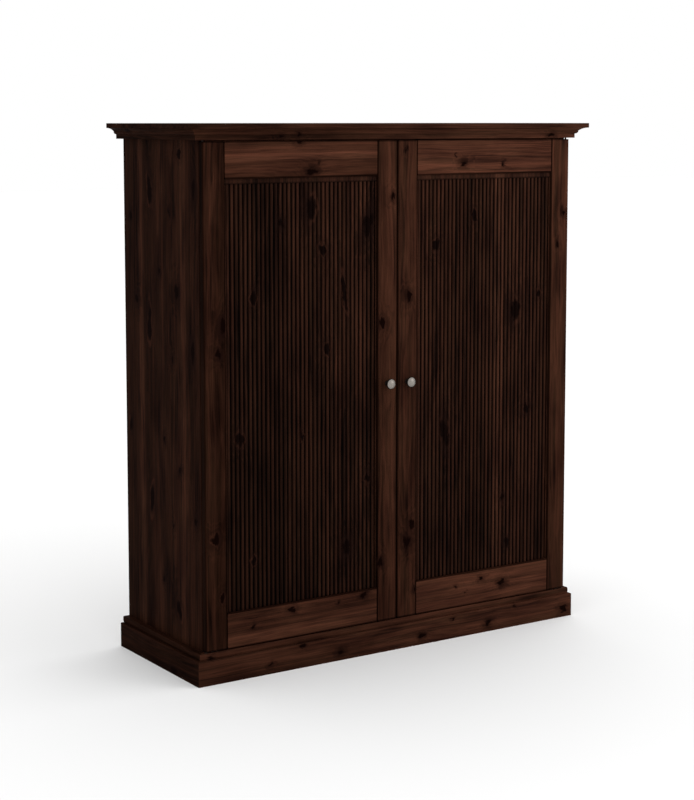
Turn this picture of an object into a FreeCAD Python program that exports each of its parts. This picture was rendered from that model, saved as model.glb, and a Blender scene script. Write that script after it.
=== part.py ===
import FreeCAD, Part
import math
import os

# A two-door wardrobe of solid pine, in millimetres.
# The origin is the centre of its footprint on the floor. +Z is up and the doors face -Y.
# Left and right are as seen from the front, so the left side is at -X.
# Left-hand pieces are modelled, and the right-hand ones are their mirror images.

Vector = FreeCAD.Vector

# Carcass
carcass_width = 1200.0
carcass_depth = 424.0
side_thickness = 20.0
board_thickness = 18.0
partition_thickness = 18.0
arris_radius = 1.2

# Back: two thin sheets let into rebates of the sides and nailed on
back_thickness = 5.0
back_rebate = 10.0
back_joint_gap = 0.6
edge_clearance = 0.3
nail_pitch = 150.0
nail_edge = 5.0
nail_head_radius = 2.6
nail_head_height = 1.0
nail_radius = 0.9
nail_length = 20.0

# Plinth: three mitred boards with a moulded top edge, over two base rails
plinth_height = 84.0
plinth_overhang = 26.0
plinth_ledge = 9.5
plinth_bead_height = 17.5
plinth_bead_swell = 2.0
plinth_bead_slope = 0.5
plinth_arris = 2.0
base_rail_thickness = 20.0

# Cornice: mitred mouldings under one wide board
cornice_overhang = 50.0
cornice_height = 29.0
top_board_thickness = 13.0
top_board_radius = 1.5
cornice_quirk = 1.2
cornice_fillet_overhang = 21.0
cornice_fillet_height = 12.0
cornice_ovolo_radius = 7.5
cornice_cove_radius = 28.0
cornice_rail_thickness = 20.0
dowel_radius = 4.0
dowel_length = 30.0
dowel_inset = 70.0

# Doors: stiles and rails round a reeded panel
door_height = 1316.0
door_thickness = 18.0
door_gap = 2.0
door_end_gap = 4.0
meeting_gap = 4.0
stile_width = 65.0
rail_height = 95.0
stile_chamfer_width = 4.0
stile_chamfer_depth = 3.0
door_arris = 2.0
rail_arris = 1.0
groove_lip = 4.5
groove_depth = 9.0
tongue_clearance = 0.1
end_clearance = 0.3
reed_pitch = 13.2
reed_height = 4.2
reed_drop = 1.0
reed_side_margin = 2.0
reed_top_margin = 13.0
reed_foot = 2.0

# Knobs and their screws
knob_edge_distance = 31.5
knob_foot_radius = 7.5
knob_foot_height = 1.5
knob_waist_radius = 5.0
knob_waist_distance = 7.5
knob_head_radius = 14.5
knob_head_distance = 16.0
knob_rim_radius = 2.5
knob_length = 25.0
knob_screw_radius = 2.0
knob_screw_depth = 10.0
knob_hole_spare = 1.0
knob_screw_head_radius = 4.2
knob_screw_head_height = 2.4

# Pivots: a pin and bush at the top and bottom of each door
pivot_edge_distance = 5.5
pivot_back_distance = 9.5
pin_radius = 2.5
pin_reach = 8.0
bush_radius = 3.5
bush_depth = 10.0
pin_clearance = 0.05
plate_width = 8.5
plate_length = 44.0
plate_nose = 5.0
plate_thickness = 2.0
stop_radius = 4.2
stop_sector = 122.0
stop_spare_angle = 3.0
thrust_clearance = 0.1
recess_clearance = 0.1
plate_screw_count = 2
plate_screw_pitch = 15.0
plate_screw_end = 7.5

# Countersunk wood screws
screw_radius = 1.5
screw_head_radius = 3.0
screw_head_height = 1.6
screw_length = 15.0
screw_clearance = 0.05

# Magnetic catches, strike plates and buffers
catch_length = 46.0
catch_height = 14.0
catch_depth = 13.0
catch_proud = 0.3
catch_partition_gap = 10.0
catch_screw_pitch = 34.0
strike_length = 38.0
strike_height = 13.0
strike_thickness = 1.4
strike_screw_pitch = 26.0
strike_screw_length = 9.0
strike_screw_head_radius = 2.4
strike_screw_head_height = 1.1
buffer_radius = 5.0
buffer_thickness = 1.7
buffer_edge_distance = 24.0
buffer_end_distance = 7.0

# Clothes rail in the left bay
rail_tube_radius = 12.5
rail_tube_wall = 1.5
rail_drop = 60.0
socket_wall = 2.0
socket_length = 12.0
socket_flange_radius = 22.0
socket_flange_thickness = 2.5
socket_screw_distance = 18.0
socket_fit = 0.2

# Shelves in the right bay, on pins
shelf_count = 3
shelf_setback = 22.0
shelf_side_clearance = 1.0
shelf_back_clearance = 1.5
pin_hole_radius = 2.5
pin_hole_depth = 9.0
pin_hole_pitch = 32.0
pin_inset = 45.0
pin_fit = 0.1
pin_rest_length = 8.0
pin_rest_radius = 3.5

# One run past a face for every cut, and the angle of a whole turn
overrun = 5.0
full_turn = 360.0

# Places worked out from the sizes above
overall_depth = carcass_depth + cornice_overhang
half_width = carcass_width / 2
inner_half = half_width - side_thickness
partition_half = partition_thickness / 2
front = -overall_depth / 2 + cornice_overhang
back = overall_depth / 2
inner_back = back - back_thickness
door_bottom = plinth_height + door_end_gap
door_top = door_bottom + door_height
carcass_top = door_top + door_end_gap
floor_board_top = plinth_height + board_thickness
ceiling = carcass_top - board_thickness
cornice_top = carcass_top + cornice_height
overall_height = cornice_top + top_board_thickness

door_back = front - door_gap
door_front = door_back - door_thickness
door_outer = -half_width
door_inner = -meeting_gap / 2
opening_left = door_outer + stile_width
opening_right = door_inner - stile_width
opening_bottom = door_bottom + rail_height
opening_top = door_top - rail_height
groove_front = door_front + groove_lip
groove_back = door_back - groove_lip
pivot_x = door_outer + pivot_edge_distance
pivot_y = door_back - pivot_back_distance


def box(x0, x1, y0, y1, z0, z1):
    """A rectangular block between two corners."""
    return Part.makeBox(x1 - x0, y1 - y0, z1 - z0, Vector(x0, y0, z0))


def rod(radius, start, end):
    """A round rod from one point to another."""
    along = end - start
    return Part.makeCylinder(radius, along.Length, start, along)


def join(shapes):
    """One solid from pieces that touch or overlap."""
    return shapes[0].multiFuse(shapes[1:]).removeSplitter()


def cut(shape, tools):
    """The shape with every tool taken away."""
    return shape.cut(tools)


def mirrored(shape):
    """The same piece for the other side."""
    return shape.mirror(Vector(0, 0, 0), Vector(1, 0, 0))


def flat_outline(steps, place):
    """A face inside a closed line.

    Each step is the next point, or a point to pass through and then the next point, for an arc.
    The first step is the starting point. place turns a flat pair into a point in space.
    """
    here = place(*steps[0])
    first = here
    edges = []
    for step in steps[1:]:
        if isinstance(step[0], tuple):
            through, after = place(*step[0]), place(*step[1])
            edges.append(Part.Arc(here, through, after).toShape())
        else:
            after = place(*step)
            edges.append(Part.makeLine(here, after))
        here = after
    if not here.isEqual(first, FreeCAD.Base.Precision.confusion()):
        edges.append(Part.makeLine(here, first))
    return Part.Face(Part.Wire(edges))


def rounded(corners):
    """Steps of a closed line whose corners (x, y, radius) are rounded where the radius isn't zero."""
    steps = []
    count = len(corners)
    for i, (x, y, radius) in enumerate(corners):
        if not radius:
            steps.append((x, y))
            continue
        corner = Vector(x, y, 0)
        before = (Vector(*corners[i - 1][:2], 0) - corner).normalize()
        after = (Vector(*corners[(i + 1) % count][:2], 0) - corner).normalize()
        half_turn = before.getAngle(after) / 2
        start = corner + before * (radius / math.tan(half_turn))
        end = corner + after * (radius / math.tan(half_turn))
        inward = (before + after).normalize()
        middle = corner + inward * (radius / math.sin(half_turn) - radius)
        steps.append((start.x, start.y))
        steps.append(((middle.x, middle.y), (end.x, end.y)))
    if corners[0][2]:
        steps.append(steps[0])
    return steps


def along_z(steps, z0, z1):
    """An outline in the floor plan, carried up from z0 to z1."""
    return flat_outline(steps, lambda x, y: Vector(x, y, z0)).extrude(Vector(0, 0, z1 - z0))


def along_x(steps, x0, x1):
    """An outline in depth and height, carried along from x0 to x1."""
    return flat_outline(steps, lambda y, z: Vector(x0, y, z)).extrude(Vector(x1 - x0, 0, 0))


def screw_shape(head, inward, length, radius, head_radius, head_height, spare):
    """A countersunk screw: its head's flat face is at head, and it runs inward."""
    cone = Part.makeCone(head_radius + spare, radius + spare, head_height, head, inward)
    return join([cone, rod(radius + spare, head, head + inward * (length + spare))])


def wood_screw(head, inward):
    """A standard screw of the fittings, and the hole that it needs."""
    sizes = (screw_length, screw_radius, screw_head_radius, screw_head_height)
    return screw_shape(head, inward, *sizes, 0), screw_shape(head, inward, *sizes, screw_clearance)


# Carcass boards


def board(x0, x1, z0, z1):
    """A flat board of the carcass, from the front edge to the back sheets."""
    arris = arris_radius
    corners = [(front, z0, arris), (front, z1, arris), (inner_back, z1, 0), (inner_back, z0, 0)]
    return along_x(rounded(corners), x0, x1)


def pin_hole_places(z):
    """Heights of the holes for one shelf's pins: its own, and one above and below."""
    return [z - pin_hole_pitch, z, z + pin_hole_pitch]


def pin_rows():
    """Depths of the two rows of pin holes."""
    shelf_front = front + shelf_setback
    return [shelf_front + pin_inset, inner_back - shelf_back_clearance - pin_inset]


def shelf_levels():
    """Undersides of the shelves, evenly spaced in the bay."""
    bay = ceiling - floor_board_top
    step = (bay - shelf_count * board_thickness) / (shelf_count + 1)
    return [floor_board_top + step + i * (step + board_thickness) for i in range(shelf_count)]


def pin_axis(z):
    """Height of the pins that carry a shelf with its underside at z."""
    return z - pin_rest_radius


def pin_holes(x, inward):
    """Blind holes for shelf pins in a board whose face is at x. inward is the way into the board."""
    holes = []
    for z in shelf_levels():
        for height in pin_hole_places(pin_axis(z)):
            for y in pin_rows():
                mouth = Vector(x, y, height)
                holes.append(rod(pin_hole_radius, mouth, mouth + inward * pin_hole_depth))
    return holes


def nail_places():
    """Places of the back nails behind the left sheet, on the outer face of the sheet."""
    low = plinth_height + board_thickness / 2
    high = carcass_top - board_thickness / 2
    steps = math.ceil((high - low) / nail_pitch)
    heights = [low + (high - low) * i / steps for i in range(steps + 1)]
    outer = -inner_half - nail_edge
    inner = -partition_half / 2
    columns = [(x, z) for x in (outer, inner) for z in heights]
    across = math.ceil((inner - outer) / nail_pitch)
    between = [outer + (inner - outer) * i / across for i in range(1, across)]
    return columns + [(x, z) for x in between for z in (low, high)]


def nail_at(x, z, spare):
    """A nail driven from behind, with its head flush in the sheet."""
    head = Vector(x, back, z)
    inward = Vector(0, -1, 0)
    crown = rod(nail_head_radius + spare, head, head + inward * (nail_head_height + spare))
    return join([crown, rod(nail_radius + spare, head, head + inward * (nail_length + spare))])


def nails():
    """All the nails of the back."""
    left = [nail_at(x, z, 0) for x, z in nail_places()]
    return left + [mirrored(nail) for nail in left]


def nail_holes():
    """Holes for all the nails of the back."""
    left = [nail_at(x, z, screw_clearance) for x, z in nail_places()]
    return left + [mirrored(hole) for hole in left]


def dowel_centres():
    """Places of the dowels that hold the cornice on the left side panel."""
    x = -half_width + side_thickness / 2
    return [Vector(x, y, carcass_top) for y in (front + dowel_inset, back - dowel_inset)]


def dowel_at(centre, spare):
    """A dowel half in each of the two pieces that it joins."""
    reach = Vector(0, 0, dowel_length / 2 + spare)
    return rod(dowel_radius + spare, centre - reach, centre + reach)


def side_panel():
    """The left side, glued up from boards, rebated at the back."""
    arris = arris_radius
    corners = [
        (-half_width, front, arris),
        (-inner_half, front, arris),
        (-inner_half, back, 0),
        (-half_width, back, arris),
    ]
    panel = along_z(rounded(corners), 0, carcass_top)
    rebate = box(
        -inner_half - back_rebate, -inner_half + overrun, inner_back, back + overrun,
        plinth_height, carcass_top + overrun,
    )
    return cut(panel, [rebate] + [dowel_at(c, screw_clearance) for c in dowel_centres()])


def back_sheet():
    """The left back sheet, from the side's rebate to the middle of the partition."""
    left = -inner_half - back_rebate + edge_clearance
    return box(left, -back_joint_gap / 2, inner_back, back, plinth_height, carcass_top)


# Plinth


def base_rail(y):
    """A rail under the bottom panel, between the sides, with its front face at y."""
    return box(-inner_half, inner_half, y, y + base_rail_thickness, 0, plinth_height)


def plinth_steps():
    """Section of the plinth board: outward distance from the carcass, then height."""
    ledge = plinth_height - plinth_bead_height
    root = plinth_overhang - plinth_ledge
    nose = (root + plinth_bead_swell, (ledge + plinth_height) / 2)
    eased = plinth_arris * math.sqrt(0.5)
    turn = (plinth_overhang - plinth_arris + eased, ledge - plinth_arris + eased)
    return [
        (0, 0),
        (plinth_overhang, 0),
        (plinth_overhang, ledge - plinth_arris),
        (turn, (plinth_overhang - plinth_arris, ledge)),
        (root, ledge),
        (nose, (root + plinth_bead_slope, plinth_height)),
        (0, plinth_height),
    ]


def front_moulding(steps):
    """A section carried across the front, past both corners."""
    reach = half_width + cornice_overhang + plinth_overhang
    face = flat_outline(steps, lambda out, z: Vector(-reach, front - out, z))
    return face.extrude(Vector(2 * reach, 0, 0))


def side_moulding(steps):
    """A section carried along the left side, past the front corner and flush with the back."""
    start = front - cornice_overhang - plinth_overhang
    face = flat_outline(steps, lambda out, z: Vector(-half_width - out, start, z))
    return face.extrude(Vector(0, back - start, 0))


def front_mitre(outward, inward, z0, z1):
    """The part of the plan that a mitred front piece fills."""
    x_out, x_in = half_width + outward, half_width - inward
    y_out, y_in = front - outward, front + inward
    return along_z([(-x_out, y_out), (x_out, y_out), (x_in, y_in), (-x_in, y_in)], z0, z1)


def side_mitre(outward, inward, z0, z1):
    """The part of the plan that a mitred left piece fills."""
    x_out, x_in = -half_width - outward, -half_width + inward
    y_out, y_in = front - outward, front + inward
    return along_z([(x_out, y_out), (x_in, y_in), (x_in, back), (x_out, back)], z0, z1)


def plinth_front():
    """The front plinth board, mitred at both ends, with beds for the two lower pivots."""
    body = front_moulding(plinth_steps()).common(front_mitre(plinth_overhang, 0, 0, plinth_height))
    bed = lower_pivot_bed()
    return cut(body, bed + [mirrored(tool) for tool in bed])


def plinth_side():
    """The left plinth board, mitred at the front."""
    return side_moulding(plinth_steps()).common(side_mitre(plinth_overhang, 0, 0, plinth_height))


# Cornice


def cornice_steps():
    """Section of the cornice moulding: outward distance from the carcass, then height."""
    low = carcass_top
    fillet = low + cornice_fillet_height
    ovolo_end = cornice_fillet_overhang + cornice_ovolo_radius
    ovolo_top = fillet + cornice_ovolo_radius
    ovolo_part = cornice_ovolo_radius * math.sqrt(0.5)
    lip = cornice_overhang - cornice_quirk
    centre = cornice_top - cornice_cove_radius
    run = lip - ovolo_end
    cove_start = centre + math.sqrt(cornice_cove_radius**2 - run**2)
    cove_turn = math.asin(run / cornice_cove_radius) / 2
    cove_middle = (
        lip - cornice_cove_radius * math.sin(cove_turn),
        centre + cornice_cove_radius * math.cos(cove_turn),
    )
    steps = [
        (-side_thickness, low),
        (cornice_fillet_overhang, low),
        (cornice_fillet_overhang, fillet),
        ((cornice_fillet_overhang + ovolo_part, ovolo_top - ovolo_part), (ovolo_end, ovolo_top)),
    ]
    if abs(cove_start - ovolo_top) > FreeCAD.Base.Precision.confusion():
        steps.append((ovolo_end, cove_start))
    return steps + [(cove_middle, (lip, cornice_top)), (-side_thickness, cornice_top)]


def cornice_front():
    """The front cornice moulding, with beds for the two upper pivots."""
    mitre = front_mitre(cornice_overhang, side_thickness, carcass_top, cornice_top)
    bed = upper_pivot_bed()
    return cut(front_moulding(cornice_steps()).common(mitre), bed + [mirrored(tool) for tool in bed])


def cornice_side():
    """The left cornice moulding, bored for its dowels."""
    mitre = side_mitre(cornice_overhang, side_thickness, carcass_top, cornice_top)
    body = side_moulding(cornice_steps()).common(mitre)
    return cut(body, [dowel_at(c, screw_clearance) for c in dowel_centres()])


def top_board():
    """The wide board that closes the cornice, with eased edges."""
    reach = half_width + cornice_overhang
    plan = [
        (-reach, front - cornice_overhang),
        (reach, front - cornice_overhang),
        (reach, back),
        (-reach, back),
    ]
    body = along_z(plan, cornice_top, overall_height)
    level = [e for e in body.Edges if e.Length > top_board_thickness]
    eased = [e for e in level if e.BoundBox.YMin < back - edge_clearance]
    return body.makeFillet(top_board_radius, eased)


# Doors


def hinge_stile():
    """The left door's outer stile, bored for both pivots."""
    edge = opening_left
    corners = [
        (door_outer, door_front, door_arris),
        (edge - stile_chamfer_width, door_front, 0),
        (edge, door_front + stile_chamfer_depth, 0),
        (edge, groove_front, 0),
        (edge - groove_depth, groove_front, 0),
        (edge - groove_depth, groove_back, 0),
        (edge, groove_back, 0),
        (edge, door_back, 0),
        (door_outer, door_back, arris_radius),
    ]
    body = along_z(rounded(corners), door_bottom, door_top)
    tools = door_pivot_bed(door_bottom, 1) + door_pivot_bed(door_top, -1)
    return cut(body, tools)


def meeting_stile():
    """The left door's inner stile, bored for its knob and strike plate."""
    edge = opening_right
    corners = [
        (door_inner, door_front, door_arris),
        (door_inner, door_back, arris_radius),
        (edge, door_back, 0),
        (edge, groove_back, 0),
        (edge + groove_depth, groove_back, 0),
        (edge + groove_depth, groove_front, 0),
        (edge, groove_front, 0),
        (edge, door_front + stile_chamfer_depth, 0),
        (edge + stile_chamfer_width, door_front, 0),
    ]
    body = along_z(rounded(corners), door_bottom, door_top)
    bore = knob_screw_radius + screw_clearance
    centre = knob_centre()
    through = Vector(0, door_thickness + overrun, 0)
    tools = [rod(bore, centre - through, centre + through)]
    return cut(body, tools + [hole for _, hole in strike_screws()])


def door_rail(outer_z, inner_z):
    """A rail of the left door: its outer edge is at outer_z, and its grooved edge faces inner_z."""
    way = 1 if inner_z > outer_z else -1
    floor = inner_z - way * groove_depth
    corners = [
        (door_front, outer_z, arris_radius),
        (door_front, inner_z, rail_arris),
        (groove_front, inner_z, 0),
        (groove_front, floor, 0),
        (groove_back, floor, 0),
        (groove_back, inner_z, 0),
        (door_back, inner_z, 0),
        (door_back, outer_z, arris_radius),
    ]
    body = along_x(rounded(corners), opening_left, opening_right)
    reach = groove_depth - end_clearance
    low, high = min(outer_z, floor), max(outer_z, floor)
    tongue = box(
        opening_left - reach, opening_right + reach,
        groove_front + tongue_clearance, groove_back - tongue_clearance, low, high,
    )
    return join([body, tongue])


def reed_cutter():
    """The space in front of the reeds: straight in front, and scalloped behind."""
    face = groove_front + tongue_clearance
    crest = face + reed_drop
    valley = crest + reed_height
    width = opening_right - opening_left
    count = int((width - 2 * reed_side_margin) / reed_pitch)
    start = (opening_left + opening_right - count * reed_pitch) / 2
    steps = [(start, face - overrun), (start, valley)]
    for i in range(count):
        middle = start + (i + 0.5) * reed_pitch
        steps.append(((middle, crest), (start + (i + 1) * reed_pitch, valley)))
    steps.append((start + count * reed_pitch, face - overrun))
    return along_z(steps, opening_bottom - reed_foot, opening_top - reed_top_margin)


def reeded_panel():
    """The left door's panel, held in the grooves of its frame."""
    reach = groove_depth - end_clearance
    body = box(
        opening_left - reach, opening_right + reach,
        groove_front + tongue_clearance, groove_back - tongue_clearance,
        opening_bottom - reach, opening_top + reach,
    )
    return cut(body, [reed_cutter()])


def knob_centre():
    """Middle of the left knob's foot on the door's face."""
    return Vector(door_inner - knob_edge_distance, door_front, (door_bottom + door_top) / 2)


def turned(steps, centre):
    """A turned piece: steps give radius and distance in front of centre."""
    face = flat_outline(steps, lambda r, out: centre + Vector(r, -out, 0))
    return face.revolve(centre, Vector(0, 1, 0), full_turn)


def knob():
    """The left knob: a foot, a waist and a mushroom head with a slightly domed front."""
    flat = knob_head_radius - knob_rim_radius
    rim_front = knob_head_distance + 2 * knob_rim_radius
    rise = knob_length - rim_front
    dome_radius = (flat**2 + rise**2) / (2 * rise)
    dome_middle = knob_length - dome_radius + math.sqrt(dome_radius**2 - (flat / 2) ** 2)
    steps = [
        (0, 0),
        (knob_foot_radius, 0),
        (knob_foot_radius, knob_foot_height),
        ((knob_waist_radius, knob_waist_distance), (flat, knob_head_distance)),
        ((knob_head_radius, knob_head_distance + knob_rim_radius), (flat, rim_front)),
        ((flat / 2, dome_middle), (0, knob_length)),
    ]
    bore = rod(
        knob_screw_radius + screw_clearance, knob_centre() + Vector(0, overrun, 0),
        knob_centre() - Vector(0, knob_screw_depth + knob_hole_spare, 0),
    )
    return cut(turned(steps, knob_centre()), [bore])


def knob_screw():
    """The screw through the stile into the left knob, with its round head behind."""
    behind = knob_centre() + Vector(0, door_thickness, 0)
    head = rod(knob_screw_head_radius, behind, behind + Vector(0, knob_screw_head_height, 0))
    return join([head, rod(knob_screw_radius, behind, knob_centre() - Vector(0, knob_screw_depth, 0))])


# Pivots


def plate_block(z0, z1, spare):
    """The flat of a pivot plate of the left door, along the stile's end."""
    nose = pivot_x - plate_nose - spare
    tail = pivot_x - plate_nose + plate_length + spare
    side = plate_width / 2 + spare
    return box(nose, tail, pivot_y - side, pivot_y + side, min(z0, z1), max(z0, z1))


def plate_screw_heads(z):
    """Places of the screws of a pivot plate whose outer face is at z."""
    last = pivot_x - plate_nose + plate_length - plate_screw_end
    return [Vector(last - i * plate_screw_pitch, pivot_y, z) for i in range(plate_screw_count)]


def plate_screws(z, way):
    """Screws and holes of a pivot plate whose outer face is at z. way is +1 into a piece above."""
    return [wood_screw(head, Vector(0, 0, way)) for head in plate_screw_heads(z)]


def axis_rod(radius, z0, z1):
    """A round rod on the left door's pivot axis."""
    return rod(radius, Vector(pivot_x, pivot_y, z0), Vector(pivot_x, pivot_y, z1))


def stop_piece(start_angle, z0, z1):
    """A sector round the pin. The fixed one and the door's one meet just past the open position."""
    base = Vector(pivot_x, pivot_y, z0)
    sector = Part.makeCylinder(stop_radius, z1 - z0, base, Vector(0, 0, 1), stop_sector)
    sector.rotate(base, Vector(0, 0, 1), start_angle)
    return sector


def recess(z, way):
    """The bed of a pivot plate in a face at z. way is +1 for a piece above the face."""
    return plate_block(z - way * overrun, z + way * plate_thickness, recess_clearance)


def lower_pivot_bed():
    """Everything that the plinth loses for the left lower pivot."""
    return [recess(plinth_height, -1)] + [hole for _, hole in plate_screws(plinth_height, -1)]


def upper_pivot_bed():
    """Everything that the cornice loses for the left upper pivot."""
    bush_end = carcass_top + bush_depth + recess_clearance
    bush = axis_rod(bush_radius + recess_clearance, carcass_top, bush_end)
    return [recess(carcass_top, 1), bush] + [hole for _, hole in plate_screws(carcass_top, 1)]


def door_pivot_bed(z, way):
    """Everything that the hinge stile loses for a pivot at its end z."""
    bush = axis_rod(bush_radius + recess_clearance, z, z + way * (bush_depth + recess_clearance))
    tools = [recess(z, way)] + [hole for _, hole in plate_screws(z, way)]
    return tools + [bush] if way > 0 else tools


def lower_pivot():
    """The plate in the plinth, with its pin and its stop, which also carries the door."""
    plate = plate_block(plinth_height - plate_thickness, plinth_height, 0)
    pin = axis_rod(pin_radius, plinth_height - plate_thickness, door_bottom + pin_reach)
    start = stop_sector + stop_spare_angle
    stop = stop_piece(start, plinth_height, door_bottom - thrust_clearance)
    return cut(join([plate, pin, stop]), [hole for _, hole in plate_screws(plinth_height, -1)])


def door_bottom_pivot():
    """The plate and bush in the foot of the left hinge stile, with its stop."""
    plate = plate_block(door_bottom, door_bottom + plate_thickness, 0)
    bush = axis_rod(bush_radius, door_bottom, door_bottom + bush_depth)
    stop = stop_piece(0, plinth_height + thrust_clearance, door_bottom)
    bore_end = door_bottom + pin_reach + thrust_clearance
    bore = axis_rod(pin_radius + pin_clearance, plinth_height - overrun, bore_end)
    holes = [hole for _, hole in plate_screws(door_bottom, 1)]
    return cut(join([plate, bush, stop]), [bore] + holes)


def door_top_pivot():
    """The plate in the head of the left hinge stile, with its pin."""
    plate = plate_block(door_top - plate_thickness, door_top, 0)
    pin = axis_rod(pin_radius, door_top - plate_thickness, carcass_top + pin_reach)
    return cut(join([plate, pin]), [hole for _, hole in plate_screws(door_top, -1)])


def upper_pivot():
    """The plate and bush in the cornice that take the left door's top pin."""
    plate = plate_block(carcass_top, carcass_top + plate_thickness, 0)
    bush = axis_rod(bush_radius, carcass_top, carcass_top + bush_depth)
    bore_end = carcass_top + pin_reach + thrust_clearance
    bore = axis_rod(pin_radius + pin_clearance, carcass_top - overrun, bore_end)
    holes = [hole for _, hole in plate_screws(carcass_top, 1)]
    return cut(join([plate, bush]), [bore] + holes)


# Catches, strike plates and buffers


def catch_centre():
    """Middle of the left catch's front face."""
    x = -partition_half - catch_partition_gap - catch_length / 2
    return Vector(x, front - catch_proud, ceiling - catch_height / 2)


def catch_screws():
    """Screws and holes that hold the left catch under the top panel."""
    centre = catch_centre()
    z = centre.z - catch_height / 2
    places = [centre.x - catch_screw_pitch / 2, centre.x + catch_screw_pitch / 2]
    up = Vector(0, 0, 1)
    y = centre.y + catch_depth / 2
    sizes = (catch_height + board_thickness / 2, screw_radius, screw_head_radius, screw_head_height)
    heads = [Vector(x, y, z) for x in places]
    return [
        (screw_shape(head, up, *sizes, 0), screw_shape(head, up, *sizes, screw_clearance))
        for head in heads
    ]


def magnet_catch():
    """The left catch: a case with a pole plate in its front."""
    centre = catch_centre()
    case = box(
        centre.x - catch_length / 2, centre.x + catch_length / 2, centre.y, centre.y + catch_depth,
        centre.z - catch_height / 2, centre.z + catch_height / 2,
    )
    upright = [e for e in case.Edges if e.BoundBox.ZLength > catch_height / 2]
    case = case.makeFillet(arris_radius, upright)
    return cut(case, [hole for _, hole in catch_screws()])


def strike_screws():
    """Screws and holes of the left door's strike plate."""
    centre = catch_centre()
    face = door_back + strike_thickness
    forward = Vector(0, -1, 0)
    sizes = (strike_screw_length, screw_radius, strike_screw_head_radius, strike_screw_head_height)
    pairs = []
    for way in (-1, 1):
        head = Vector(centre.x + way * strike_screw_pitch / 2, face, centre.z)
        pairs.append((
            screw_shape(head, forward, *sizes, 0),
            screw_shape(head, forward, *sizes, screw_clearance),
        ))
    return pairs


def strike_plate():
    """The steel plate on the left door's back that the catch holds."""
    centre = catch_centre()
    plate = box(
        centre.x - strike_length / 2, centre.x + strike_length / 2,
        door_back, door_back + strike_thickness,
        centre.z - strike_height / 2, centre.z + strike_height / 2,
    )
    return cut(plate, [hole for _, hole in strike_screws()])


def buffers():
    """The left door's two felt buffers, which meet the top and bottom panels."""
    x = door_inner - buffer_edge_distance
    places = [door_bottom + buffer_end_distance, door_top - buffer_end_distance]
    thick = Vector(0, buffer_thickness, 0)
    return [rod(buffer_radius, Vector(x, door_back, z), Vector(x, door_back, z) + thick) for z in places]


# Inside


def rail_centre():
    """Axis of the clothes rail at the left side panel."""
    return Vector(-inner_half, (front + inner_back) / 2, ceiling - rail_drop)


def rail_ends():
    """Where the clothes rail starts and ends, inside its two sockets."""
    start = rail_centre()
    start.x += socket_flange_thickness
    end = rail_centre()
    end.x = -partition_half - socket_flange_thickness
    return start, end


def clothes_rail():
    """The tube across the left bay."""
    start, end = rail_ends()
    tube = rod(rail_tube_radius, start, end)
    return tube.cut(rod(rail_tube_radius - rail_tube_wall, start, end))


def socket_screws(x, way):
    """Screws and holes of a rail socket on a face at x. way points into the bay."""
    centre = rail_centre()
    head_x = x + way * socket_flange_thickness
    pairs = []
    for rise in (-socket_screw_distance, socket_screw_distance):
        head = Vector(head_x, centre.y, centre.z + rise)
        pairs.append(wood_screw(head, Vector(-way, 0, 0)))
    return pairs


def rail_socket(x, way):
    """A round flange and cup for the end of the clothes rail."""
    centre = rail_centre()
    root = Vector(x, centre.y, centre.z)
    floor = root + Vector(way * socket_flange_thickness, 0, 0)
    flange = rod(socket_flange_radius, root, floor)
    bore = rail_tube_radius + socket_fit
    mouth = floor + Vector(way * socket_length, 0, 0)
    cup = rod(bore + socket_wall, floor, mouth).cut(rod(bore, floor, mouth))
    return cut(join([flange, cup]), [hole for _, hole in socket_screws(x, way)])


def shelf(z):
    """One loose shelf of the right bay."""
    x0 = partition_half + shelf_side_clearance
    x1 = inner_half - shelf_side_clearance
    y0 = front + shelf_setback
    y1 = inner_back - shelf_back_clearance
    arris = arris_radius
    top = z + board_thickness
    corners = [(y0, z, arris), (y0, top, arris), (y1, top, 0), (y1, z, 0)]
    return along_x(rounded(corners), x0, x1)


def shelf_pin(x, y, z, way):
    """A pin in a board whose face is at x, with a thicker end that the shelf lies on."""
    inner = Vector(x - way * (pin_hole_depth - pin_fit), y, z)
    root = Vector(x, y, z)
    tip = Vector(x + way * pin_rest_length, y, z)
    shank = rod(pin_hole_radius - pin_fit, inner, tip)
    return join([shank, rod(pin_rest_radius, root, tip)])


def shelf_pins():
    """Four pins under each shelf."""
    pins = []
    for level in shelf_levels():
        for y in pin_rows():
            pins.append(shelf_pin(partition_half, y, pin_axis(level), 1))
            pins.append(shelf_pin(inner_half, y, pin_axis(level), -1))
    return pins


# Every node of the wardrobe


def carcass_screws():
    """All the screws that stay with the carcass."""
    left = plate_screws(plinth_height, -1) + plate_screws(carcass_top, 1) + catch_screws()
    shapes = [screw for screw, _ in left]
    rail_side = socket_screws(-inner_half, 1) + socket_screws(-partition_half, -1)
    return shapes + [mirrored(s) for s in shapes] + [screw for screw, _ in rail_side]


def door_screws():
    """All the wood screws in the left door."""
    pairs = plate_screws(door_bottom, 1) + plate_screws(door_top, -1) + strike_screws()
    return [screw for screw, _ in pairs]


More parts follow.
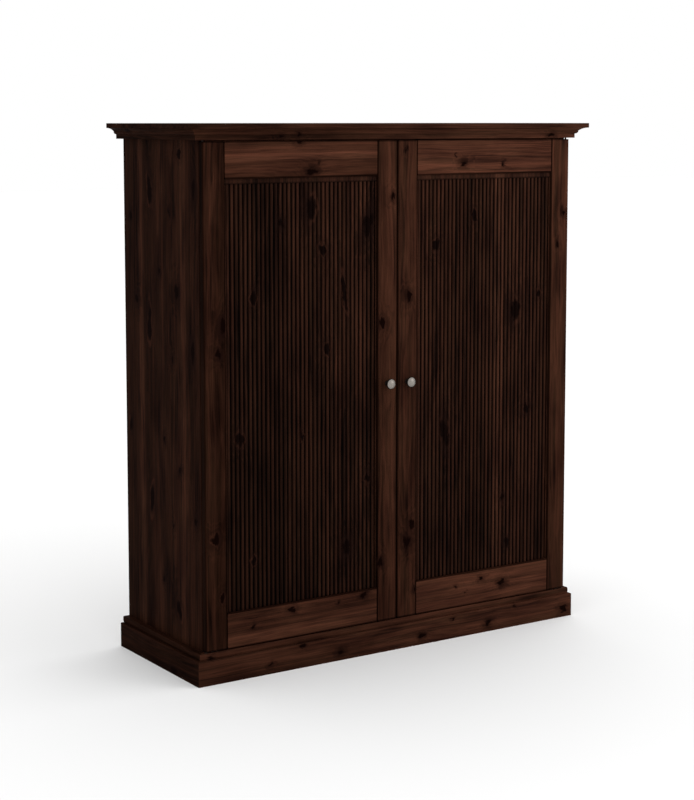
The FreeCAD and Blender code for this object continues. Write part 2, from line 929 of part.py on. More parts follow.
def carcass_nodes():
    """The fixed pieces, by name."""
    left_side = side_panel()
    right_side = cut(mirrored(left_side), pin_holes(inner_half, Vector(1, 0, 0)))
    left_side = cut(left_side, [hole for _, hole in socket_screws(-inner_half, 1)])
    partition = board(-partition_half, partition_half, floor_board_top, ceiling)
    partition_tools = pin_holes(partition_half, Vector(-1, 0, 0))
    partition_tools += [hole for _, hole in socket_screws(-partition_half, -1)]
    top_panel = board(-inner_half, inner_half, ceiling, carcass_top)
    catch_holes = [hole for _, hole in catch_screws()]
    holes = nail_holes()
    nodes = {
        "side_panel_left": cut(left_side, holes),
        "side_panel_right": cut(right_side, holes),
        "partition": cut(partition, partition_tools + holes),
        "top_panel": cut(top_panel, catch_holes + [mirrored(h) for h in catch_holes] + holes),
        "bottom_panel": cut(board(-inner_half, inner_half, plinth_height, floor_board_top), holes),
        "back_panel_left": cut(back_sheet(), holes),
        "back_nails": Part.makeCompound(nails()),
        "front_base_rail": base_rail(front),
        "back_base_rail": base_rail(back - base_rail_thickness),
        "plinth_front": plinth_front(),
        "plinth_left": plinth_side(),
        "cornice_front": cornice_front(),
        "cornice_left": cornice_side(),
        "cornice_back_rail": box(
            -inner_half, inner_half, back - cornice_rail_thickness, back, carcass_top, cornice_top
        ),
        "top_board": top_board(),
        "clothes_rail": clothes_rail(),
        "rail_socket_left": rail_socket(-inner_half, 1),
        "rail_socket_right": rail_socket(-partition_half, -1),
        "shelf_pins": Part.makeCompound(shelf_pins()),
        "carcass_screws": Part.makeCompound(carcass_screws()),
        "magnet_catch_left": magnet_catch(),
        "lower_pivot_left": lower_pivot(),
        "upper_pivot_left": upper_pivot(),
    }
    nodes["back_panel_right"] = mirrored(nodes["back_panel_left"])
    for name in ("plinth", "cornice", "magnet_catch", "lower_pivot", "upper_pivot"):
        nodes[name + "_right"] = mirrored(nodes[name + "_left"])
    dowels = [dowel_at(c, 0) for c in dowel_centres()]
    nodes["cornice_dowels"] = Part.makeCompound(dowels + [mirrored(d) for d in dowels])
    for number, level in enumerate(shelf_levels(), 1):
        nodes[f"shelf_{number}"] = shelf(level)
    return nodes


def door_nodes():
    """The left door's pieces, by the part of the name that both doors share."""
    return {
        "hinge_stile": hinge_stile(),
        "meeting_stile": meeting_stile(),
        "top_rail": door_rail(door_top, opening_top),
        "bottom_rail": door_rail(door_bottom, opening_bottom),
        "reeded_panel": reeded_panel(),
        "knob": knob(),
        "knob_screw": knob_screw(),
        "bottom_pivot": door_bottom_pivot(),
        "top_pivot": door_top_pivot(),
        "strike_plate": strike_plate(),
        "buffers": Part.makeCompound(buffers()),
        "screws": Part.makeCompound(door_screws()),
    }


def main():
    """Build every node and write one file for each."""
    os.makedirs("parts", exist_ok=True)
    nodes = carcass_nodes()
    for name, shape in door_nodes().items():
        nodes["door_left_" + name] = shape
        nodes["door_right_" + name] = mirrored(shape)
    for name, shape in sorted(nodes.items()):
        if not shape.isValid():
            print("not valid:", name)
        shape.exportStep(f"parts/{name}.step")
    print(len(nodes), "nodes, overall", 2 * (half_width + cornice_overhang), overall_depth, overall_height)


main()
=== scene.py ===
import math
import random

import bpy
from mathutils import Matrix, Vector


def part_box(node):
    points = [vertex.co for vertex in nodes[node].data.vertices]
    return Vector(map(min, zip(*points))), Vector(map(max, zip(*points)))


# A two-door wardrobe of knotty pine, stained dark and lacquered semi-matt.
# Wood patterns are worked out in millimetres: across a board, through it and along it.

PER_METRE = 1000.0

# Settings that many nodes share
SMOOTH = {"interpolation_type": "SMOOTHSTEP"}
OF_COLOURS = {"data_type": "RGBA"}

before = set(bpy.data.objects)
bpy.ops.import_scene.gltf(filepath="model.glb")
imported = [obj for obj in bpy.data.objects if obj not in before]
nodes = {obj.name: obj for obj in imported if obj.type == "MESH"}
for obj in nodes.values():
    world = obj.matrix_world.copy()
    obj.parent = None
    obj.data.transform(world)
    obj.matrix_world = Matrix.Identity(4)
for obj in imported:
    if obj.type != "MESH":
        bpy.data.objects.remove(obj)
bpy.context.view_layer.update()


# Colours and nodes


def linear(code):
    """An sRGB hex colour as linear light."""
    shades = []
    for i in (1, 3, 5):
        part = int(code[i:i + 2], 16) / 255
        shades.append(part / 12.92 if part <= 0.04045 else ((part + 0.055) / 1.055) ** 2.4)
    return (*shades, 1.0)


def result(source):
    """The output that a node has in use, or the output itself."""
    if isinstance(source, bpy.types.Node):
        return next(output for output in source.outputs if output.enabled)
    return source


def add(tree, kind, inputs=(), **settings):
    """Adds a node. inputs gives its sockets, in order or by name, a value or what feeds them."""
    node = tree.nodes.new("ShaderNode" + kind)
    for name, value in settings.items():
        setattr(node, name, value)
    in_use = [socket for socket in node.inputs if socket.enabled]
    for key, value in inputs.items() if isinstance(inputs, dict) else enumerate(inputs):
        socket = node.inputs[key] if isinstance(key, str) else in_use[key]
        value = result(value)
        if isinstance(value, bpy.types.NodeSocket):
            tree.links.new(value, socket)
        else:
            socket.default_value = value
    return node


def bare_tree(owner):
    """The node tree of a new material or world, emptied."""
    owner.use_nodes = True
    owner.node_tree.nodes.clear()
    return owner.node_tree


def new_material(name, **shader):
    """A material with one Principled shader, whose named sockets are set, and its tree."""
    material = bpy.data.materials.new(name)
    tree = bare_tree(material)
    sockets = {key.replace("_", " "): value for key, value in shader.items()}
    surface = add(tree, "BsdfPrincipled", sockets)
    add(tree, "OutputMaterial", {"Surface": surface})
    return material, tree, surface


def feed(tree, surface, colour, roughness=None, height=None, depth=0.0):
    """Joins patterns to a shader. height raises the surface by up to depth millimetres."""
    tree.links.new(result(colour), surface.inputs["Base Color"])
    if roughness:
        tree.links.new(result(roughness), surface.inputs["Roughness"])
    if height:
        bump = add(tree, "Bump", {"Height": height, "Distance": depth / PER_METRE})
        tree.links.new(result(bump), surface.inputs["Normal"])


def dress(name, material):
    """Gives a CAD node its material."""
    mesh = nodes[name].data
    mesh.materials.clear()
    mesh.materials.append(material)


# Stained pine

AXES = {"x": Vector((1, 0, 0)), "y": Vector((0, 1, 0)), "z": Vector((0, 0, 1))}
# The third direction of each kind of board, as board_space turns it: grain, then across
DEEP = {"zx": "y", "zy": "-x", "xz": "-y", "xy": "z", "yz": "x"}
# A board's directions, as a split place gives them
ACROSS, THROUGH, ALONG = 0, 1, 2

# The stain: darkest on soft early wood, reddest on hard late wood and worn edges. A knot has a
# dark cloud and a black heart
STAIN_DARK = linear("#150A08")
STAIN_MIDDLE = linear("#2D1B12")
STAIN_RED = linear("#4B2B1F")
KNOT_HALO = linear("#160A07")
KNOT_HEART = linear("#0A0302")

# The log: a year ring's width, how far the pith lies behind a board at least, and how deep
# the rings run before they turn back. Late wood rises and ends within a year's growth
RING_WIDTH = 4.2
PITH_DEPTH = 22.0
LOG_FOLD = 60.0
LATE_RISE = (0.2, 0.85)
LATE_END = (0.90, 1.0)

# Patterns drawn out along the grain: width and length of their marks, and their detail
FIBRE = (1.4, 90.0)
STRIPE = (9.0, 600.0)
CLOUD = (46.0, 190.0)
WARP = (95.0, 430.0)
RAGGED = (13.0, 30.0)
TORN = (2.8, 8.0)
BROAD, PLAIN, FINE, FINEST = 1.0, 2.0, 3.0, 4.0
# How far each seed shifts a pattern, counted in its marks
SEED_STEPS = (1.7, 2.3, 3.1)
# Room in which the last three move a place: across, through and along a board
WARP_REACH = (34.0, 20.0, 0.0)
RAGGED_REACH = (20.0, 0.0, 44.0)
TORN_REACH = (9.0, 0.0, 18.0)

# Two levels of a pattern and what they become: stain taken up, shade or roughness
CLOUD_STAIN = (0.32, 0.60, 0.0, 1.0)
CLOUD_SHADE = (0.36, 0.60, 0.88, 1.10)
FIBRE_SHADE = (0.28, 0.72, 0.62, 1.38)
FIBRE_ROUGHNESS = (0.2, 0.8, 0.54, 0.42)
# Redness: between these levels of a stripe by this much, on late wood, and on worn edges
STRIPE_LEVELS = (0.38, 0.70)
STRIPE_RED = 0.6
LATE_RED = 0.26
ARRIS_RED = 0.35
# How much late wood stands up beside fibre, and how high both are
LATE_HEIGHT = 0.35
WOOD_DEPTH = 0.06
# Mirrored rays see the white studio and veil dark wood, so its specular levels are very low
FLAT_SHEEN = 0.002
REED_SHEEN = 0.01

# Boards glued up into a panel differ in tone. The offset keeps their draws apart
BOARD_TONES = (0.88, 1.12)
BOARD_OFFSET = 0.37

# Knots, by distance from a knot's middle in its own radii: how far out it pushes the rings
# aside, and by how much, then the start and end of its dark cloud, pale ring and black heart
KNOT_FLOW = 5.0
KNOT_PUSH = 12.0
HALO_REACH = (0.9, 3.0)
PALE_START = (1.0, 1.2)
PALE_END = (1.3, 1.6)
HEART_EDGE = (0.72, 1.15)
HEART_STRENGTH = 0.95
# What the levels of the cloud pattern leave of the dark cloud and of the pale ring
HALO_TORN = (0.38, 0.60, 0.95, 0.6)
PALE_PATCHES = (0.46, 0.62, 0.0, 0.22)
# Knots on boards that the photograph doesn't show: square millimetres for each, and their
# number at most. Their radius, stretch and tilt lie between these
KNOT_AREA = 30000
MOST_KNOTS = 16
KNOT_RADII = (4, 11)
KNOT_STRETCHES = (1.0, 2.6)
KNOT_TILTS = (-25, 25)

# Worn long edges: how far in from a corner they begin to fade and end
ARRIS = (0.6, 3.0)
# Dark bands of gathered stain and painted shade: half their width, and how much paler, where less
# than 0 is darker. SEAM is beside a reeded panel and JOINT at a rail's ends, both gathered stain
# and painted shade; EDGE at a door's own edges is painted shade of the gaps round the doors
SEAM = (6.0, -0.8)
JOINT = (4.0, -0.8)
EDGE = (4.0, -0.6)
# The land above the reeds: its height and its painted shade under the top rail, and the painted
# shadow line at the reeds' tops
REED_LAND = 12.0
LAND_PAINTED_SHADE = -0.15
LAND_PAINTED_SHADOW = (3.0, -0.45)
# Painted shade: a door is darker towards its foot, where less light falls: two heights, and the
# shade at each
PAINTED_FOOT_SHADE = (250.0, 1150.0, 0.68, 1.0)

# Reeds: how far their crests lie behind the land, their height, and how far below a crest the
# grooves' painted shade is full
REED_DROP = 1.0
REED_HEIGHT = 4.2
REED_FLANK = 1.9
# Shades of the crests and of the grooves, which are painted shade, and of the panel's inner face,
# which is as pale as the other boards inside. That one begins and is full this far behind the
# grooves
REED_PAINTED_SHADES = (2.05, 0.26)
INSIDE_SHADE = 2.2
INSIDE_START = (1.0, 2.0)


def board_space(tree, along, across):
    """Object coordinates in millimetres, turned so that X runs across a board and Z along it."""
    deep = AXES[along].cross(AXES[across])
    turn = Matrix((AXES[across], deep, AXES[along])).to_euler()
    place = add(tree, "TexCoord").outputs["Object"]
    scale = (PER_METRE, PER_METRE, PER_METRE)
    return add(tree, "Mapping", {"Vector": place, "Rotation": turn, "Scale": scale})


def node_edges(name, axis):
    """Where a CAD node starts and ends along an axis, in millimetres."""
    low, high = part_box(name)
    i = "xyz".index(axis)
    return low[i] * PER_METRE, high[i] * PER_METRE


def grain_noise(tree, place, size, seed, detail=PLAIN):
    """Noise drawn out along the grain. size is the width and length of its marks."""
    width, length = size
    scale = (1 / width, 1 / width, 1 / length)
    shift = [seed * step for step in SEED_STEPS]
    spot = add(tree, "Mapping", {"Vector": place, "Location": shift, "Scale": scale})
    return add(tree, "TexNoise", {"Vector": spot, "Scale": 1.0, "Detail": detail})


def swayed(tree, place, size, seed, reach):
    """Coordinates moved to and fro by up to half of reach."""
    sway = grain_noise(tree, place, size, seed).outputs["Color"]
    centred = add(tree, "VectorMath", (sway, (0.5, 0.5, 0.5)), operation="SUBTRACT")
    return add(tree, "VectorMath", (centred, reach, place), operation="MULTIPLY_ADD")


def nearest_knot(tree, place, knots):
    """Distance to the nearest knot, counted in that knot's own radii."""
    nearest = None
    for across, along, radius, stretch, tilt in knots:
        inside = add(tree, "Mapping", {
            "Vector": place,
            "Location": (across, 0, along),
            "Rotation": (0, math.radians(tilt), 0),
            "Scale": (radius, radius * PER_METRE, radius * stretch),
        }, vector_type="TEXTURE")
        away = add(tree, "VectorMath", (inside,), operation="LENGTH")
        if nearest:
            away = add(tree, "Math", (nearest, away), operation="MINIMUM")
        nearest = away
    return nearest


def glued_boards(tree, place, width, start, seed):
    """Pith and tone of the board at a place, in a panel glued up from boards of one width."""
    across = add(tree, "SeparateXYZ", (place,)).outputs[ACROSS]
    steps = add(tree, "Math", (across, start), operation="SUBTRACT")
    steps = add(tree, "Math", (steps, width), operation="DIVIDE")
    number = add(tree, "Math", (steps,), operation="FLOOR")
    ticket = add(tree, "Math", (number, seed + BOARD_OFFSET), operation="ADD")
    draw = add(tree, "TexWhiteNoise", (ticket,), noise_dimensions="1D").outputs["Color"]
    rolls = add(tree, "SeparateColor", (draw,)).outputs
    edge = add(tree, "Math", (number, width, start), operation="MULTIPLY_ADD")
    pith = add(tree, "Math", (rolls[1], width, edge), operation="MULTIPLY_ADD")
    tone = add(tree, "MapRange", (rolls[0], 0.0, 1.0, *BOARD_TONES))
    return pith, tone


def arris(tree, place, name, along, across):
    """1 on the long edges of a board, falling to 0 a little way in."""
    parts = add(tree, "SeparateXYZ", (place,)).outputs
    inset = []
    for way, axis in ((ACROSS, across), (THROUGH, DEEP[along + across])):
        low, high = node_edges(name, axis[-1])
        middle = (low + high) / 2 * (-1 if axis.startswith("-") else 1)
        off = add(tree, "Math", (parts[way], middle), operation="SUBTRACT")
        off = add(tree, "Math", (off,), operation="ABSOLUTE")
        inset.append(add(tree, "Math", ((high - low) / 2, off), operation="SUBTRACT"))
    corner = add(tree, "CombineXYZ", inset)
    away = add(tree, "VectorMath", (corner,), operation="LENGTH")
    return add(tree, "MapRange", (away, *ARRIS, 1.0, 0.0), **SMOOTH)


def year_rings(tree, place, pith, depth, knot):
    """Distance from the middle of the tree, in year rings that knots push aside."""
    split = add(tree, "SeparateXYZ", (place,)).outputs
    from_pith = add(tree, "Math", (split[ACROSS], pith), operation="SUBTRACT")
    behind = add(tree, "Math", (split[THROUGH], depth), operation="ADD")
    behind = add(tree, "Math", (behind, LOG_FOLD), operation="PINGPONG")
    behind = add(tree, "Math", (behind, PITH_DEPTH), operation="ADD")
    spot = add(tree, "CombineXYZ", (from_pith, behind))
    ring = add(tree, "VectorMath", (spot,), operation="LENGTH")
    near = add(tree, "MapRange", (knot, 0.0, KNOT_FLOW, 1.0, 0.0), **SMOOTH)
    ring = add(tree, "Math", (near, KNOT_PUSH, ring), operation="MULTIPLY_ADD")
    return add(tree, "Math", (ring, RING_WIDTH), operation="DIVIDE")


def late_wood(tree, rings):
    """1 in the hard dark line that ends each year's growth, 0 in the soft wood before it."""
    part = add(tree, "Math", (rings,), operation="FRACT")
    rise = add(tree, "MapRange", (part, *LATE_RISE, 0.0, 1.0), **SMOOTH)
    fall = add(tree, "MapRange", (part, *LATE_END, 1.0, 0.0), **SMOOTH)
    return add(tree, "Math", (rise, fall), operation="MULTIPLY")


def streaked(tree, place, streaks, shade, way=ACROSS):
    """shade, made paler or darker in bands. way is the direction in which their places count."""
    along_way = add(tree, "SeparateXYZ", (place,)).outputs[way]
    for middle, reach, gain in streaks:
        off = add(tree, "Math", (along_way, middle), operation="SUBTRACT")
        off = add(tree, "Math", (off,), operation="ABSOLUTE")
        band = add(tree, "MapRange", (off, reach / 2, reach, 1.0 + gain, 1.0), **SMOOTH)
        shade = add(tree, "Math", (shade, band), operation="MULTIPLY")
    return shade


def stain(tree, cloud, stripe, late, worn, red):
    """The stain's colour, dark where soft wood drank it and redder where hard wood did not."""
    drunk = add(tree, "MapRange", (cloud, *CLOUD_STAIN))
    body = add(tree, "Mix", (drunk, STAIN_DARK, STAIN_MIDDLE), **OF_COLOURS)
    flush = add(tree, "MapRange", (stripe, *STRIPE_LEVELS, red, red + STRIPE_RED))
    lines = add(tree, "Math", (late, LATE_RED), operation="MULTIPLY")
    rubbed = add(tree, "Math", (worn, ARRIS_RED), operation="MULTIPLY")
    for redness in (flush, lines, rubbed):
        body = add(tree, "Mix", (redness, body, STAIN_RED), **OF_COLOURS)
    return body


def knotted(tree, body, knot, cloud):
    """A wood colour with torn dark clouds round its knots, pale rings in places, black hearts."""
    halo = add(tree, "MapRange", (knot, *HALO_REACH, 1.0, 0.0), **SMOOTH)
    torn = add(tree, "MapRange", (cloud, *HALO_TORN))
    halo = add(tree, "Math", (halo, torn), operation="MULTIPLY")
    body = add(tree, "Mix", (halo, body, KNOT_HALO), **OF_COLOURS)
    start = add(tree, "MapRange", (knot, *PALE_START, 0.0, 1.0), **SMOOTH)
    end = add(tree, "MapRange", (knot, *PALE_END, 1.0, 0.0), **SMOOTH)
    patch = add(tree, "MapRange", (cloud, *PALE_PATCHES))
    pale = add(tree, "Math", (start, end), operation="MULTIPLY")
    pale = add(tree, "Math", (pale, patch), operation="MULTIPLY")
    body = add(tree, "Mix", (pale, body, STAIN_RED), **OF_COLOURS)
    heart = add(tree, "MapRange", (knot, *HEART_EDGE, HEART_STRENGTH, 0.0), **SMOOTH)
    return add(tree, "Mix", (heart, body, KNOT_HEART), **OF_COLOURS)


def painted_foot_shade(tree):
    """A door's painted shade, darker towards its foot where less light falls."""
    height = add(tree, "SeparateXYZ", (add(tree, "TexCoord").outputs["Object"],)).outputs["Z"]
    height = add(tree, "Math", (height, PER_METRE), operation="MULTIPLY")
    return add(tree, "MapRange", (height, *PAINTED_FOOT_SHADE))


def reed_painted_shade(tree, place):
    """Paler on the reeds' crests, painted shade down into the grooves, and one tone on the inner
    face.
    """
    crest = node_edges("door_left_reeded_panel", "y")[0] + REED_DROP
    valley = crest + REED_HEIGHT
    level = add(tree, "SeparateXYZ", (place,)).outputs[THROUGH]
    sunk = add(tree, "MapRange", (level, crest, crest + REED_FLANK, *REED_PAINTED_SHADES))
    start, full = (valley + step for step in INSIDE_START)
    inside = add(tree, "MapRange", (level, start, full, 0.0, INSIDE_SHADE))
    return add(tree, "Math", (sunk, inside), operation="MAXIMUM")


def scattered_knots(name, along, across, seed):
    """Knots for a board that the photograph doesn't show."""
    chance = random.Random(seed * 7 + 3)
    low, high = node_edges(name, across)
    start, end = node_edges(name, along)
    knots = []
    for _ in range(min(MOST_KNOTS, max(1, round((high - low) * (end - start) / KNOT_AREA)))):
        ranges = ((low, high), (start, end), KNOT_RADII, KNOT_STRETCHES, KNOT_TILTS)
        knots.append([chance.uniform(*ends) for ends in ranges])
    return knots


def stain_and_shade_bands(name, along, across):
    """Bands of gathered stain and painted shade: those with a place across the board, then those
    along it.

    On a door they are where a board meets the reeded panel and at a rail's ends, as gathered
    stain with painted shade, at the door's own edges, as painted shade of the gaps round it, and
    on the land above the reeds, as painted shade and a painted shadow line. The right door is
    pale to its hinge edge, as the photograph shows it. Other boards have painted light and shade
    towards their ends.
    """
    if not name.startswith("door"):
        return [], SEEN_PAINTED_LIGHT_ENDS.get(name, [])
    door = "_".join(name.split("_")[:2])
    if name.endswith("reeded_panel"):
        reeds_top = node_edges(door + "_top_rail", "z")[0] - REED_LAND
        return [], [(reeds_top, *LAND_PAINTED_SHADOW), (reeds_top + REED_LAND / 2, REED_LAND, LAND_PAINTED_SHADE)]
    middle = sum(node_edges(door + "_reeded_panel", across)) / 2
    inner, outer = sorted(node_edges(name, across), key=lambda edge: abs(edge - middle))
    sides = [(inner, *SEAM)]
    if name != "door_right_hinge_stile":
        sides.append((outer, *EDGE))
    end = EDGE if name.endswith("stile") else JOINT
    return sides, [(place, *end) for place in node_edges(name, along)]


def pine(name, seed, along, across, tone, red, glued):
    """Knotty pine, planed, stained dark brown and lacquered semi-matt.

    The soft early wood drinks the stain and goes dark. The hard late-wood lines and the rubbed
    edges stay redder. Stain gathers in the seams, with painted shade there, and painted shade
    also darkens the doors' feet, the reeds' grooves and some board ends, while other ends and
    some pale streaks carry painted light. Knots are almost black, and the grain flows round them.
    """
    reeded = name.endswith("reeded_panel")
    sheen = REED_SHEEN if reeded else FLAT_SHEEN
    title = "pine_knotty_stained_lacquered_" + name
    material, tree, surface = new_material(title, IOR=1.5, Specular_IOR_Level=sheen)
    chance = random.Random(seed)
    place = board_space(tree, along, across)
    warped = swayed(tree, place, WARP, seed, WARP_REACH)
    cloud = grain_noise(tree, place, CLOUD, seed, FINE)
    stripe = grain_noise(tree, warped, STRIPE, seed)
    fibre = grain_noise(tree, warped, FIBRE, seed, FINE)

    shades = [add(tree, "MapRange", (cloud, *CLOUD_SHADE))]
    low, high = node_edges(name, across)
    pith = (low + high) / 2 + chance.uniform(-0.5, 0.5) * (high - low)
    if glued:
        pith, board_tone = glued_boards(tree, place, *glued, seed)
        shades.append(board_tone)
    # Painted shade: a door darker towards its foot
    if name.startswith("door"):
        shades.append(painted_foot_shade(tree))
    # Painted shade: the reeds' grooves darker than their crests
    if reeded:
        shades.append(reed_painted_shade(tree, place))

    ragged = swayed(tree, place, RAGGED, seed, RAGGED_REACH)
    torn = swayed(tree, ragged, TORN, seed, TORN_REACH)
    knots = SEEN_KNOTS.get(name) or scattered_knots(name, along, across, seed)
    knot = nearest_knot(tree, torn, knots)
    late = late_wood(tree, year_rings(tree, warped, pith, chance.uniform(0, LOG_FOLD), knot))
    body = stain(tree, cloud, stripe, late, arris(tree, place, name, along, across), red)

    *levels, dark, pale = FIBRE_SHADE
    shade = add(tree, "MapRange", (fibre, *levels, dark * tone, pale * tone))
    for other in shades:
        shade = add(tree, "Math", (shade, other), operation="MULTIPLY")
    # Streaks of the wood's tone, some of them painted highlights
    shade = streaked(tree, place if glued else warped, SEEN_STREAKS_AND_HIGHLIGHTS.get(name, []), shade)
    # Bands of gathered stain and painted shade where parts meet and round the doors
    for way, bands in zip((ACROSS, ALONG), stain_and_shade_bands(name, along, across)):
        shade = streaked(tree, place, bands, shade, way)
    body = add(tree, "VectorMath", {"Vector": body, "Scale": shade}, operation="SCALE")
    body = knotted(tree, body, knot, cloud)
    gloss = add(tree, "MapRange", (fibre, *FIBRE_ROUGHNESS))
    relief = add(tree, "Math", (late, LATE_HEIGHT, fibre), operation="MULTIPLY_ADD")
    feed(tree, surface, body, gloss, relief, WOOD_DEPTH)
    return material


# Knots seen on boards: place across and along in millimetres, radius, stretch along the grain,
# tilt in degrees
SEEN_KNOTS = {
    "door_left_top_rail": [
        (1403, -312, 8, 1.3, 0), (1323, -275, 10, 1.3, 20), (1346, -252, 3, 1.2, 0),
    ],
    "door_right_top_rail": [
        (1338, 221, 8, 1.2, 30), (1335, 363, 4, 1.2, -20), (1361, 196, 2, 1.2, 0),
    ],
    "door_left_bottom_rail": [
        (163, -337, 9, 1.2, 20), (137, -455, 5, 1.2, 0), (168, -105, 7, 1.4, 0),
        (160, -192, 3, 1.2, 0),
    ],
    "door_right_bottom_rail": [
        (145, 208, 4, 1.2, 0), (157, 296, 6, 1.4, 0), (136, 368, 9, 1.3, -30),
        (126, 236, 2.5, 1.2, 0),
    ],
    "plinth_front": [
        (72, -586, 4, 1.3, 0), (60, -310, 4, 1.3, 0), (22, -190, 8, 1.3, 20),
        (24, 84, 6, 1.3, 0), (56, 186, 3, 1.3, 0), (24, 317, 8, 1.3, 20), (60, 413, 3, 1.3, 0),
        (24, 597, 11, 1.2, 0), (26, -407, 5, 1.4, 0),
    ],
    "cornice_front": [(1417, -369, 5, 1.6, 0), (1421, -317, 5, 1.6, 0), (1416, 534, 6, 1.6, 0)],
    "door_left_hinge_stile": [
        (-560, 864, 8, 1.2, 0), (-541, 936, 11, 1.8, 10), (-572, 380, 11, 1.2, 0),
        (-551, 227, 7, 1.4, 0),
    ],
    "door_left_meeting_stile": [
        (-50, 913, 10, 1.3, 0), (-14, 1254, 7, 1.3, 0), (-56, 252, 8, 1.3, 0),
    ],
    "door_right_meeting_stile": [
        (38, 981, 9, 1.3, 0), (34, 299, 11, 1.4, 0), (52, 344, 8, 1.8, 0), (60, 156, 5, 1.4, 0),
        (28, 1377, 4, 1.4, 0),
    ],
    "door_right_hinge_stile": [(585, 1194, 7, 1.4, 0), (563, 1107, 4, 1.4, 0)],
    "door_left_reeded_panel": [
        (-272, 1229, 15, 1.9, 5), (-92, 1183, 14, 2.4, 20), (-237, 1118, 12, 1.3, 0),
        (-365, 1189, 8, 1.4, 0), (-168, 1001, 7, 6.0, -8), (-452, 999, 10, 1.6, 0),
        (-225, 856, 10, 1.4, 0), (-491, 637, 12, 1.4, 0), (-161, 306, 13, 1.5, 0),
        (-452, 306, 8, 1.4, 0), (-302, 628, 6, 1.4, 0), (-95, 490, 9, 1.4, 0),
    ],
    "door_right_reeded_panel": [
        (132, 1116, 10, 1.4, 0), (265, 1195, 8, 1.6, 0), (415, 920, 16, 1.9, 5),
        (500, 964, 8, 1.5, 0), (167, 589, 13, 2.8, -12), (372, 378, 8, 1.4, 0),
        (458, 633, 10, 1.3, 0), (390, 251, 8, 1.4, 0),
    ],
    "side_panel_left": [
        (86, 1276, 12, 3.4, 12), (-158, 1281, 10, 3.0, 0), (-62, 1013, 11, 1.7, 0),
        (165, 974, 10, 1.4, 0), (93, 918, 11, 4.6, 0), (33, 1058, 6, 1.3, 0),
        (-25, 1222, 6, 1.3, 0), (-83, 1375, 9, 1.3, 0), (-33, 833, 7, 1.4, 0),
        (197, 1203, 8, 1.6, 0), (86, 440, 10, 4.4, -8), (14, 618, 7, 1.4, 0),
        (-73, 545, 7, 1.4, 0), (-158, 425, 9, 1.5, 0), (-33, 387, 6, 1.4, 0),
        (-62, 168, 12, 2.2, 20), (26, 233, 6, 1.4, 0), (209, 630, 9, 1.6, 0),
        (-147, 864, 9, 3.0, 0),
    ],
}

# Pale and dark streaks seen along boards, partly the wood's own tone and partly painted
# highlights, such as the pale band on the left top rail: place across in millimetres, half their
# width, how much paler
SEEN_STREAKS_AND_HIGHLIGHTS = {
    "door_left_top_rail": [(1367, 11, 0.75), (1392, 22, 0.25)],
    "door_left_bottom_rail": [(106, 22, 0.35)],
    "door_left_hinge_stile": [(-584, 20, 0.45)],
    "door_left_meeting_stile": [(-20, 24, 0.35)],
    "door_left_reeded_panel": [(-120, 34, 0.45), (-460, 110, -0.2), (-210, 24, 0.2)],
    "door_right_reeded_panel": [
        (353, 20, 0.7), (100, 18, 0.3), (450, 80, 0.2), (260, 30, -0.2),
    ],
    "side_panel_left": [
        (220, 90, -0.35), (140, 16, 0.5), (100, 30, -0.45), (62, 20, -0.2), (-15, 26, -0.15),
        (-97, 22, 0.5), (-155, 50, -0.1), (-198, 18, -0.45),
    ],
}

# Each board: grain direction, direction across, tone, redness, and width and start of the boards
# that it is glued up from. The tones of side_panel_left, plinth_left and cornice_left hold
# painted shade, darker than the right-hand pieces because less light falls on the left
BOARDS = {
    "side_panel_left": ("z", "y", 0.46, 0.0, (121.0, -239.0)),
    "side_panel_right": ("z", "y", 0.72, 0.0, (121.0, -239.0)),
    "partition": ("z", "y", 1.0, 0.0, (110.0, -190.0)),
    "top_panel": ("x", "y", 1.0, 0.0, (105.0, -190.0)),
    "bottom_panel": ("x", "y", 1.0, 0.0, (105.0, -190.0)),
    "shelf_1": ("x", "y", 1.0, 0.0, (100.0, -190.0)),
    "shelf_2": ("x", "y", 1.0, 0.0, (100.0, -170.0)),
    "shelf_3": ("x", "y", 1.0, 0.0, (100.0, -150.0)),
    "top_board": ("x", "y", 0.8, 0.0, (118.0, -240.0)),
    "front_base_rail": ("x", "z", 1.0, 0.0, None),
    "back_base_rail": ("x", "z", 1.0, 0.0, None),
    "plinth_front": ("x", "z", 0.68, 0.05, None),
    "plinth_left": ("y", "z", 0.32, 0.0, None),
    "plinth_right": ("y", "z", 0.8, 0.0, None),
    "cornice_front": ("x", "z", 0.85, 0.0, None),
    "cornice_left": ("y", "z", 0.42, 0.0, None),
    "cornice_right": ("y", "z", 0.8, 0.0, None),
    "cornice_back_rail": ("x", "z", 1.0, 0.0, None),
    "door_left_hinge_stile": ("z", "x", 0.45, 0.0, None),
    "door_left_meeting_stile": ("z", "x", 0.72, 0.05, None),
    "door_left_top_rail": ("x", "z", 0.75, 0.15, None),
    "door_left_bottom_rail": ("x", "z", 1.08, 0.10, None),
    "door_left_reeded_panel": ("z", "x", 0.30, 0.0, (96.0, -541.0)),
    "door_right_hinge_stile": ("z", "x", 0.96, 0.0, None),
    "door_right_meeting_stile": ("z", "x", 0.87, 0.0, None),
    "door_right_top_rail": ("x", "z", 1.32, 0.15, None),
    "door_right_bottom_rail": ("x", "z", 1.56, 0.15, None),
    "door_right_reeded_panel": ("z", "x", 0.36, 0.0, (96.0, 60.0)),
}

# Painted light and shade along boards: darker towards their shaded left ends and paler towards
# the lit right. Place along in millimetres, half their width, how much paler
SEEN_PAINTED_LIGHT_ENDS = {
    "top_board": [(-650, 640, -0.3), (-650, 30, -0.36)],
    "cornice_front": [(-650, 640, -0.25), (650, 560, 0.5)],
    "plinth_front": [(620, 920, 0.4)],
}

FIRST_SEED = 11


def dress_boards():
    """Stained pine for every board, each cut from its own place in the log."""
    for seed, (name, board) in enumerate(BOARDS.items(), FIRST_SEED):
        dress(name, pine(name, seed, *board))


# Fittings

